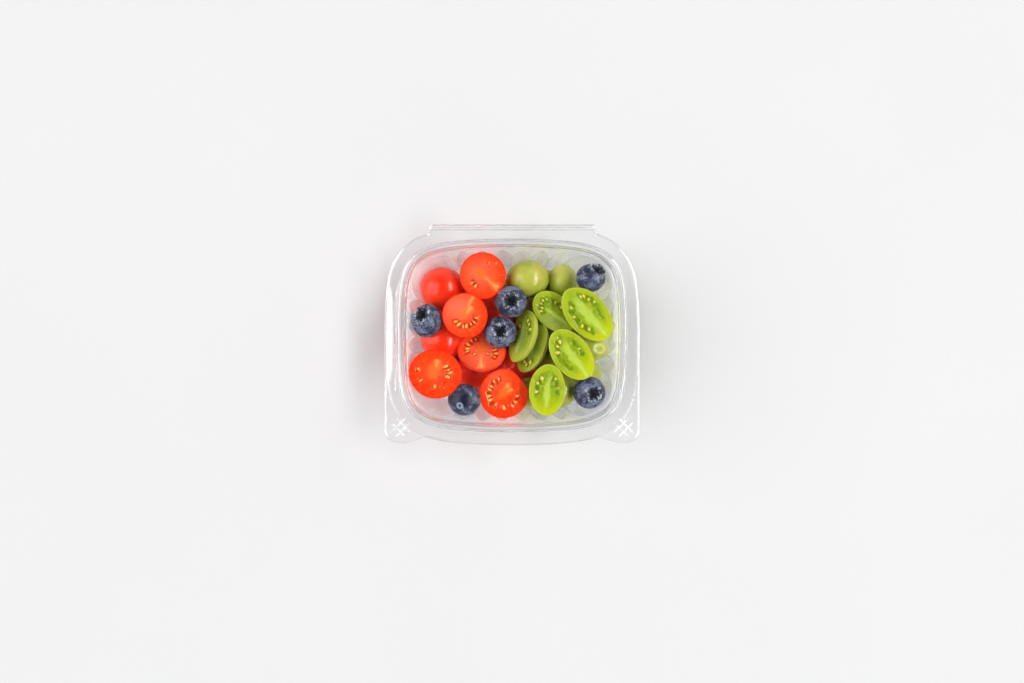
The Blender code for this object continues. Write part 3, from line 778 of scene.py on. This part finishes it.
def cut_fields(reach, turn, pattern, seed):
    """The masks over a cut face, from the place on it: reach 0 to 1 and turn.

    Gel lies in bands, each along part of a circle, and is deepest between its seeds; the core is a
    soft oval; a streak widens and brightens outwards from the middle; fibres are fine waves round the
    flesh that grow towards the rim; one side is riper, and one soft patch is pale: a painted sheen.
    """
    draw = np.random.default_rng(seed)
    x, y = reach * np.cos(turn), reach * np.sin(turn)
    gel, deep = np.zeros_like(reach), np.zeros_like(reach)
    for start, end, band, width, count in pattern["bands"]:
        middle, half = math.radians(start + end) / 2, math.radians(end - start) / 2
        beside = wrapped(turn - middle)
        ripple = 0.03 * np.sin(9 * turn + draw.uniform(0, 6)) + 0.02 * np.sin(17 * turn)
        inside = smooth(np.abs(reach - band - ripple) / width, 1.2, 0.55)
        inside *= smooth(np.abs(beside), half + 0.2, half - 0.12)
        between = 0.5 + 0.5 * np.cos(math.pi * count * (beside / half + 1)) if count else 0.45 + 0 * reach
        gel, deep = np.maximum(gel, inside), np.maximum(deep, inside * (0.1 + 0.7 * between**1.5))
    core_x, core_y, length, width, slant = pattern["core"]
    slant = math.radians(slant)
    ahead = (x - core_x) * math.cos(slant) + (y - core_y) * math.sin(slant)
    aside = (y - core_y) * math.cos(slant) - (x - core_x) * math.sin(slant)
    lumpy = 1 + 0.14 * np.sin(5 * turn + draw.uniform(0, 6)) + 0.08 * np.sin(11 * turn)
    core = smooth(np.hypot(ahead / length, aside / width) * lumpy, 1.25, 0.45)
    streak = np.zeros_like(reach)
    for heading, near, far, thick in pattern["streaks"]:
        sway = 0.03 * np.sin(8 * reach + draw.uniform(0, 6))
        beside = wrapped(turn - math.radians(heading) - sway) * reach
        share = np.clip((reach - near) / (far - near), 0, 1)
        line = np.exp(-np.abs(beside / (thick * (0.4 + 0.6 * share))) ** 1.2)
        line *= (0.25 + 0.75 * share) * smooth(reach, near, near + 0.15)
        line *= smooth(reach, far + 0.06, far - 0.08)
        streak = np.maximum(streak, line * (np.cos(turn - math.radians(heading)) > 0))
    fibre = np.zeros_like(reach)
    for waves in draw.integers(14, 60, 9):
        fibre += np.sin(waves * turn + draw.uniform(0, 6) + 5 * reach * draw.normal())
    fibre = np.clip(fibre / 5, 0, 1) * smooth(reach, 0.25, 0.85)
    heading, share = pattern.get("ripe", (0, 0))
    ripe = share * smooth(reach * np.cos(turn - math.radians(heading)), 0.1, 0.95)
    # The pale patch is painted sheen: a soft lighter area where a broad highlight falls.
    sheen_x, sheen_y, spread, strength = pattern.get("pale", (0, 0, 1, 0))
    pale = strength * np.exp(-((x - sheen_x) ** 2 + (y - sheen_y) ** 2) / spread**2)
    fields = {"gel": gel, "deep": deep, "core": core * (1 - gel), "streak": streak * (1 - gel)}
    wall = smooth(reach + 0.02 * np.sin(7 * turn + draw.uniform(0, 6)), 0.7, 0.8)
    fields |= {"fibre": fibre, "ripe": ripe, "pale": pale * (1 - gel), "wall": wall}
    return fields | {"rim": smooth(reach, 0.935, 0.972)}


FACE_RINGS, SKIN_RINGS, AROUND = 54, 22, 208
RIM = 0.022


def half_shape(sizes, pattern, seed):
    """A halved fruit: a disc of rings for the cut, a small rounded rim, and half an ellipsoid below.
    The gel is sunk a little, the core stands a little proud, and the outline is uneven."""
    face = (np.arange(FACE_RINGS) + 1) / FACE_RINGS * (1 - RIM)
    bend = np.radians([22, 45, 68, 90])
    below = np.radians(90 * (np.arange(1, SKIN_RINGS) / SKIN_RINGS))
    reach = np.concatenate([face, 1 - RIM * (1 - np.sin(bend)), np.cos(below)])
    depth = np.concatenate([face * 0, RIM * (1 - np.cos(bend)), RIM + (1 - RIM) * np.sin(below)])
    on_cut = np.concatenate([np.ones(FACE_RINGS), [0.6, 0.1, 0, 0], np.zeros(SKIN_RINGS - 1)])
    turn = np.arange(AROUND) / AROUND * 2 * math.pi
    reach, turn = np.meshgrid(reach, turn, indexing="ij")
    fields = cut_fields(np.minimum(reach, 1), turn, pattern, seed)
    cut = np.broadcast_to(on_cut[:, None], reach.shape).copy()
    fields = {key: field * cut for key, field in fields.items()} | {"cut": cut, "scar": 0 * cut}
    draw = np.random.default_rng(seed + 50)
    uneven = 1 + 0.012 * np.sin(2 * turn + draw.uniform(0, 6))
    uneven = uneven + 0.008 * np.sin(3 * turn + draw.uniform(0, 6))
    for heading, dent, spread in pattern.get("dents", ()):
        uneven -= dent * bell(wrapped(turn - math.radians(heading)), math.radians(spread))
    relief = 0.14 * fields["core"] - 0.34 * fields["gel"] - 0.14 * fields["deep"] - 0.07 * fields["fibre"]
    relief = (relief + 0.12 * fields["streak"]) * MM
    relief += 0.35 * MM * cut * (1 - np.minimum(reach, 1) ** 2)
    x = sizes[0] * MM * reach * uneven * np.cos(turn)
    y = sizes[1] * MM * reach * uneven * np.sin(turn)
    z = relief - sizes[2] * MM * np.broadcast_to(depth[:, None], reach.shape)
    poles = np.array([(0, 0, 0.47 * MM), (0, 0, -sizes[2] * MM)])
    ends = {key: (field, (field[0].mean(), 0.0)) for key, field in fields.items()}
    return closed_shape(np.stack([x, y, z], -1), poles, ends)


def seed_shapes(sizes, pattern, seed, length, width):
    """Seeds along the gel bands: flat teardrops with their tips towards the middle, each a small ball
    whose width narrows to one end."""
    draw = np.random.default_rng(seed + 9)
    rings, around = 9, 12
    polar, turn = np.meshgrid(np.linspace(0.25, math.pi - 0.25, rings),
                              np.arange(around) / around * 2 * math.pi, indexing="ij")
    polar = np.concatenate([polar.ravel(), [0.0, math.pi]])
    turn = np.concatenate([turn.ravel(), [0.0, 0.0]])
    taper = 0.55 + 0.45 * smooth(np.cos(polar), -1.0, 0.4)
    shape = np.stack([np.cos(polar), np.sin(polar) * np.cos(turn) * taper,
                      np.sin(polar) * np.sin(turn) * taper], 1)
    faces, masks = ring_faces(rings, around), {"tip": smooth(np.cos(polar), 0.1, -0.9)}
    seeds = []
    for start, end, band, _, count in pattern["bands"]:
        for number in range(count):
            share = (number + 0.5) / count
            angle = math.radians(start + (end - start) * share + draw.uniform(-4, 4))
            reach = band + draw.uniform(-0.05, 0.05)
            spot = np.array([sizes[0] * reach * math.cos(angle), sizes[1] * reach * math.sin(angle)])
            heading = math.atan2(spot[1], spot[0]) + draw.uniform(-0.4, 0.4)
            size = draw.uniform(0.7, 1.3)
            local = shape * np.array([length, width, 0.42 * width]) * size / 2
            cos, sin = math.cos(heading), math.sin(heading)
            turned = np.stack([local[:, 0] * cos - local[:, 1] * sin,
                               local[:, 0] * sin + local[:, 1] * cos], 1)
            height = local[:, 2] + 0.28 * (1 - reach**2) - 0.18
            seeds.append((np.column_stack([turned + spot, height]) * MM, *faces, masks))
    return joined(seeds)


def build_half(node, sizes, turn, lean, pattern, seed, materials, slot):
    """A halved fruit and, as a piece of their own, its seeds."""
    fruit, *fruit_rest = half_shape(sizes, pattern, seed)
    seeds, *seeds_rest = seed_shapes(sizes, pattern, seed, *SEED_SIZES[slot])
    both = settled(np.concatenate([fruit, seeds]), node, turn, lean)
    add_piece(node + "_fruit", (both[:len(fruit)], *fruit_rest), materials[0], "tray", [node], slot)
    add_piece(node + "_seeds", (both[len(fruit):], *seeds_rest), materials[1], "tray")


SEED_SIZES = {"red_tomato": (2.6, 1.4), "green_tomato": (2.1, 1.55)}


# Half sizes in mm, turn about Z, lean about X and Y, as in the CAD.  Bands: from and to (degrees), place
# from middle to rim, half width, seeds.  Core: middle, half length, half width, slant.  Streaks:
# heading, from, to, half width.  Dents: heading, depth, spread.
# Pale: middle x and y, spread, strength, of a patch of painted sheen.  Ripe: heading, share.
RED_HALVES = {
    "red_half_1": ((12.4, 12.8, 9.4), 0, (4, 0), {
        "bands": [(202, 246, 0.51, 0.1, 2), (58, 70, 0.55, 0.05, 1)], "pale": (-0.15, 0.1, 0.6, 0.7),
        "core": (-0.08, 0.08, 0.42, 0.2, -42), "streaks": [(-38, 0.0, 0.86, 0.1), (-46, 0.2, 0.9, 0.04),
                                                          (40, 0.62, 0.84, 0.025)]}),
    "red_half_2": ((12.1, 12.3, 8.8), 0, (5, -4), {
        "bands": [(203, 358, 0.49, 0.16, 7)], "pale": (-0.3, 0.35, 0.65, 0.8),
        "core": (0.0, 0.08, 0.3, 0.24, 60), "streaks": [(67, 0.05, 0.92, 0.06), (52, 0.0, 0.5, 0.1),
                                                       (-6, 0.42, 0.6, 0.09)]}),
    "red_half_3": ((13.2, 12.2, 8.8), 0, (-28, 0), {
        "bands": [(102, 192, 0.62, 0.14, 5), (-38, 16, 0.58, 0.13, 3), (196, 218, 0.34, 0.07, 1),
                  (-42, -16, 0.3, 0.07, 1)], "pale": (0.0, -0.2, 0.9, 0.65),
        "core": (0.0, 0.15, 0.36, 0.2, 80), "streaks": [(268, 0.1, 0.86, 0.09), (262, 0.5, 0.9, 0.03)]}),
    "red_half_4": ((14.1, 13.2, 9.4), 0, (2, 2), {
        "bands": [(-20, 46, 0.52, 0.14, 4), (-62, -38, 0.53, 0.08, 0), (260, 279, 0.52, 0.08, 1),
                  (156, 172, 0.67, 0.09, 1), (196, 212, 0.6, 0.08, 1)],
        "pale": (-0.02, 0.12, 0.38, 0.3), "ripe": (200, 0.5),
        "core": (-0.02, 0.14, 0.42, 0.24, 75), "streaks": [(80, 0.2, 0.6, 0.09)]}),
    "red_half_5": ((13.3, 13.4, 10.6), 0, (3, 2), {
        "bands": [(100, 238, 0.59, 0.14, 7), (259, 276, 0.53, 0.08, 1), (-68, -2, 0.56, 0.1, 3)],
        "core": (0.04, 0.1, 0.42, 0.22, 45), "streaks": [(28, 0.1, 0.42, 0.07), (66, 0.15, 0.47, 0.07)],
        "pale": (-0.3, 0.6, 0.42, 0.45), "ripe": (-60, 0.6), "dents": [(45, 0.12, 25)]}),
}
GREEN_HALVES = {
    "green_half_1": ((17.6, 10.7, 7.2), -49, (3, 0), {
        "bands": [(206, 330, 0.6, 0.17, 4), (92, 160, 0.62, 0.18, 4), (44, 92, 0.56, 0.1, 0)],
        "core": (0.02, 0.0, 0.78, 0.28, 0), "streaks": [(2, 0.3, 0.86, 0.06)], "ripe": (-10, 0.95),
        "dents": [(150, 0.06, 30)]}),
    "green_half_2": ((13.6, 9.2, 8.2), -40, (0, 5), {
        "bands": [(143, 240, 0.6, 0.18, 5), (62, 132, 0.5, 0.16, 2)], "pale": (0.2, -0.6, 0.5, 0.8),
        "core": (0.15, -0.12, 0.55, 0.14, 5), "streaks": [(206, 0.2, 0.9, 0.03), (160, 0.2, 0.8, 0.03)]}),
    "green_half_3": ((14.6, 9.0, 7.6), 72, (-50, 0), {
        "bands": [(-76, 4, 0.6, 0.17, 3), (40, 130, 0.55, 0.15, 3)], "ripe": (180, 0.3),
        "pale": (-0.2, 0, 0.9, 0.55),
        "core": (-0.1, 0.05, 0.6, 0.22, 0), "streaks": [(180, 0.1, 0.6, 0.05)]}),
    "green_half_4": ((14.0, 8.6, 7.4), 67, (-42, 0), {
        "bands": [(150, 226, 0.62, 0.16, 3)], "ripe": (-60, 0.35), "pale": (0.1, -0.3, 0.9, 0.45),
        "core": (0.0, 0.0, 0.6, 0.22, 0), "streaks": []}),
    "green_half_5": ((15.6, 9.9, 8.8), -52, (4, 0), {
        "bands": [(172, 250, 0.63, 0.15, 3), (250, 318, 0.6, 0.1, 0), (58, 126, 0.54, 0.15, 1)],
        "ripe": (20, 0.9), "core": (0.1, 0.0, 0.72, 0.24, 0), "streaks": [(-2, 0.4, 0.93, 0.05)]}),
    "green_half_6": ((13.8, 9.7, 8.8), 84, (0, 4), {
        "bands": [(28, 114, 0.56, 0.17, 3), (-102, -24, 0.56, 0.16, 2)], "ripe": (180, 0.8),
        "core": (-0.1, 0.0, 0.6, 0.2, 0), "streaks": [(182, 0.2, 0.7, 0.04)]}),
}
# Half sizes, turn, and the way the stem end faces
RED_WHOLES = {
    "low_red_1": ((11.2, 11.0, 10.6), 0, (0.3, -0.9, -0.2)),
    "low_red_2": ((11.4, 10.8, 10.4), 20, (1, 0.2, -0.3)),
    "low_red_3": ((11.2, 11.4, 10.6), 0, (-0.4, 0.8, -0.4)),
    "red_whole_1": ((12.3, 12.2, 11.6), 0, (-0.5, 0.6, -0.6)),
    "red_whole_2": ((12.2, 12.0, 11.4), 0, (-0.9, 0.1, -0.4)),
}
GREEN_WHOLES = {
    "low_green_1": ((10.2, 11.2, 9.6), 0, (0, 1, -0.3)),
    "green_whole_1": ((11.7, 10.1, 9.8), 0, (-1, 0.2, -0.2)),
    "green_whole_2": ((8.2, 9.6, 8.8), 0, (0.7, 0.7, -0.2)),
    "green_whole_3": ((11.3, 7.8, 7.8), -8, (0.62, 0.0, 0.78)),
    "green_whole_4": ((10.0, 7.8, 7.8), 0, (1, 0, -0.1)),
    "green_whole_5": ((9.2, 9.4, 9.2), 0, (0.3, -1, -0.2)),
}
# Half sizes, turn, and the way the crown faces; the one with its stem end up shows its small scar instead
BERRIES = {
    "berry_1": ((8.0, 9.1, 7.0), -14, (-0.46, 0.3, 0.83)),
    "berry_2": ((8.6, 8.6, 7.8), 0, (0.02, 0.05, 1)),
    "berry_3": ((8.8, 8.6, 7.8), 0, (0.02, 0.08, 1)),
    "berry_4": ((8.9, 8.6, 7.6), 0, (-0.26, -0.35, 0.9)),
    "berry_5": ((8.7, 8.7, 7.6), 0, (0.3, -0.05, 0.95)),
    "berry_6": ((8.0, 7.6, 7.4), 0, (0.52, 0.58, 0.66)),
}


# ---------------------------------------------------------------- the fruit underneath

def packed_places(sizes):
    """Places for the lower fruit: started round the foot of the wall and in the middle, then pushed
    apart, off the fruit above, in from the wall and up from the floor until they settle."""
    count = len(sizes)
    angle = (np.arange(count) + 0.5) / count * 2 * math.pi
    places = np.stack([38 * np.cos(angle), 29 * np.sin(angle), sizes + 2.5], 1)
    fixed, spans = [], []
    for name in [*RED_WHOLES, *GREEN_WHOLES, *RED_HALVES, *GREEN_HALVES, *BERRIES]:
        low, high = (np.array(corner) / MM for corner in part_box(name))
        halved = name in RED_HALVES or name in GREEN_HALVES
        fixed.append((*((low + high) / 2)[:2], high[2] if halved else (low + high)[2] / 2))
        spans.append((*((high - low) / 2)[:2], (high - low)[2] * (1 if halved else 0.5)))
    fixed, spans = np.array(fixed), np.array(spans)
    for _ in range(500):
        away = places[:, None] - places[None]
        distance = np.linalg.norm(away, axis=-1) + np.eye(count)
        lap = np.clip(sizes[:, None] + sizes[None] - distance, 0, None) * (1 - np.eye(count))
        places = places + 0.3 * (away / distance[..., None] * lap[..., None]).sum(1)
        away = places[:, None] - fixed[None]
        room = spans[None] + sizes[:, None, None]
        distance = np.linalg.norm(away / room, axis=-1)
        lap = np.clip(1 - distance, 0, None)
        places = places + 0.4 * (away * lap[..., None]).sum(1)
        inset = 0.8 + (44.5 - places[:, 2]) * DRAFT_SLOPE + 2.6
        limit = HALF / MM + 0.8 - inset[:, None] - sizes[:, None]
        out = (np.abs(places[:, :2] / limit) ** 5).sum(1) ** 0.2
        places[:, :2] /= np.maximum(out, 1)[:, None]
        places[:, 2] = np.maximum(places[:, 2] - 0.15, sizes * 0.95 + 1.9)
    return places


def build_lower(materials):
    """The fruit under the pieces that show: whole tomatoes, red to the left and green to the right,
    with berries among them, each sort joined into one piece, over a smaller core."""
    sizes = np.array([9.4, 8.2, 7.4, 9.0, 8.6, 7.6, 9.2, 8.4, 9.6, 7.5, 8.8, 9.2, 8.0, 7.6, 9.3, 8.5,
                      7.4, 9.0, 8.3])
    places = packed_places(sizes)
    groups = {"red": [], "green": [], "berry": []}
    for number, (size, place) in enumerate(zip(sizes, places)):
        kind = "berry" if size < 7.7 else "red" if place[0] < -2 else "green"
        groups[kind].append((number, size, place))
    plans = {"red": (tomato_end, (1.0, 0.98, 0.96), "red_tomato"),
             "green": (tomato_end, (1.0, 0.92, 0.9), "green_tomato"),
             "berry": (lower_crown, (1.0, 0.98, 0.96), "berry_skin")}
    for kind, members in groups.items():
        end, stretch, slot = plans[kind]
        parts = []
        for number, size, place in members:
            draw = np.random.default_rng(number + 300)
            pole = Vector(draw.normal(size=3) + (0, 0, 0.6)).normalized()
            points, *rest = ball_shape(size * np.array(stretch), pole, end, number, 0.015, 40, 60)
            parts.append((points + place * MM, *rest))
        add_piece("lower_" + kind, joined(parts), materials[kind], "tray", ["lower_fruit"], slot)
    # The core is coloured dark as painted shade in the depth of the heap.
    points, *rest = ball_shape((39, 28.5, 6.8), (0, 0, 1), lumps, 77, 0.03, 40, 80, 1.0)
    shape = (points + (0, 0, 8.8 * MM), *rest)
    add_piece("lower_core", shape, painted_shade_core_finish(), "tray", ["lower_fruit"], "lower_fruit")


# ---------------------------------------------------------------- light, floor and camera

def add_lamp(name, place, width, height, power):
    """A rectangular soft lamp that faces the container; its height lies along Y, its width up and
    down."""
    light = bpy.data.lights.new(name, "AREA")
    light.shape = "RECTANGLE"
    light.size, light.size_y = height, width
    light.energy = power
    lamp = bpy.data.objects.new(name, light)
    lamp.location = place
    toward = Vector((0, 0, 0.02)) - Vector(place)
    lamp.rotation_euler = toward.to_track_quat("-Z", "Y").to_euler()
    bpy.context.scene.collection.objects.link(lamp)


def build_sky():
    """The room: white walls that show near the horizon, and a dim ceiling."""
    world = bpy.data.worlds.new("studio")
    world.use_nodes = True
    tree = world.node_tree
    place = tree.nodes.new("ShaderNodeTexCoord")
    height = tree.nodes.new("ShaderNodeSeparateXYZ")
    fade = tree.nodes.new("ShaderNodeMapRange")
    fade.interpolation_type = "SMOOTHSTEP"
    for key, value in {"From Min": 0.0, "From Max": 0.7, "To Min": 0.95, "To Max": 0.03}.items():
        fade.inputs[key].default_value = value
    tree.links.new(place.outputs["Generated"], height.inputs[0])
    tree.links.new(height.outputs["Z"], fade.inputs["Value"])
    tree.links.new(fade.outputs[0], tree.nodes["Background"].inputs["Strength"])
    tree.nodes["Background"].inputs["Color"].default_value = (1.0, 1.0, 1.0, 1)
    bpy.context.scene.world = world


def build_studio():
    corners = np.array([(-4, -4, 0), (4, -4, 0), (4, 4, 0), (-4, 4, 0)], float)
    shape = (corners - (0, 0, 0.0002), np.array([[0, 1, 2, 3]]), np.zeros((0, 3), int), {})
    floor = add_piece("floor", shape, floor_finish(), None)
    scene = bpy.context.scene
    scene.view_settings.view_transform = "Standard"
    scene.cycles.max_bounces = scene.cycles.transmission_bounces = 24
    scene.cycles.glossy_bounces = scene.cycles.transparent_max_bounces = 16
    build_sky()
    add_lamp("left_softbox", (-4.7, 0.3, 4.2), 7.0, 6.0, 390)
    add_lamp("right_softbox", (4.1, 0.0, 4.7), 1.15, 7.8, 390)
    camera = bpy.data.objects.new("camera", bpy.data.cameras.new("camera"))
    camera.data.sensor_width = 36.0
    camera.data.lens = 65.7
    camera.location = (0.0, -0.0032, 1.0446)
    scene.collection.objects.link(camera)
    scene.camera = camera


# ---------------------------------------------------------------- the whole

film = clear_film()
build_tray(film)
build_lid(film)
build_hinge(film)
build_grips()

red_whole, green_whole = whole_finish("ripe_skin", red_skin), whole_finish("unripe_skin", green_skin)
red_cut = cut_finish("ripe_cut", red_skin, RED_CUT)
green_cut = cut_finish("unripe_cut", green_skin, GREEN_CUT)
red_seeds = seed_finish("golden_seed", srgb(255, 192, 84), srgb(236, 122, 36))
green_seeds = seed_finish("pale_seed", srgb(250, 222, 100), srgb(206, 176, 40))
berry = berry_finish()

for first_seed, halves, materials, slot in [
    (10, RED_HALVES, (red_cut, red_seeds), "red_tomato"),
    (30, GREEN_HALVES, (green_cut, green_seeds), "green_tomato"),
]:
    for number, (node, plan) in enumerate(halves.items()):
        build_half(node, *plan, first_seed + number, materials, slot)
for first_seed, wholes, material, slot in [
    (60, RED_WHOLES, red_whole, "red_tomato"),
    (80, GREEN_WHOLES, green_whole, "green_tomato"),
    (100, BERRIES, berry, "berry_skin"),
]:
    for number, (node, plan) in enumerate(wholes.items()):
        build_whole(node, *plan, first_seed + number, material, slot)
build_lower({"red": red_whole, "green": green_whole, "berry": berry})
build_studio()
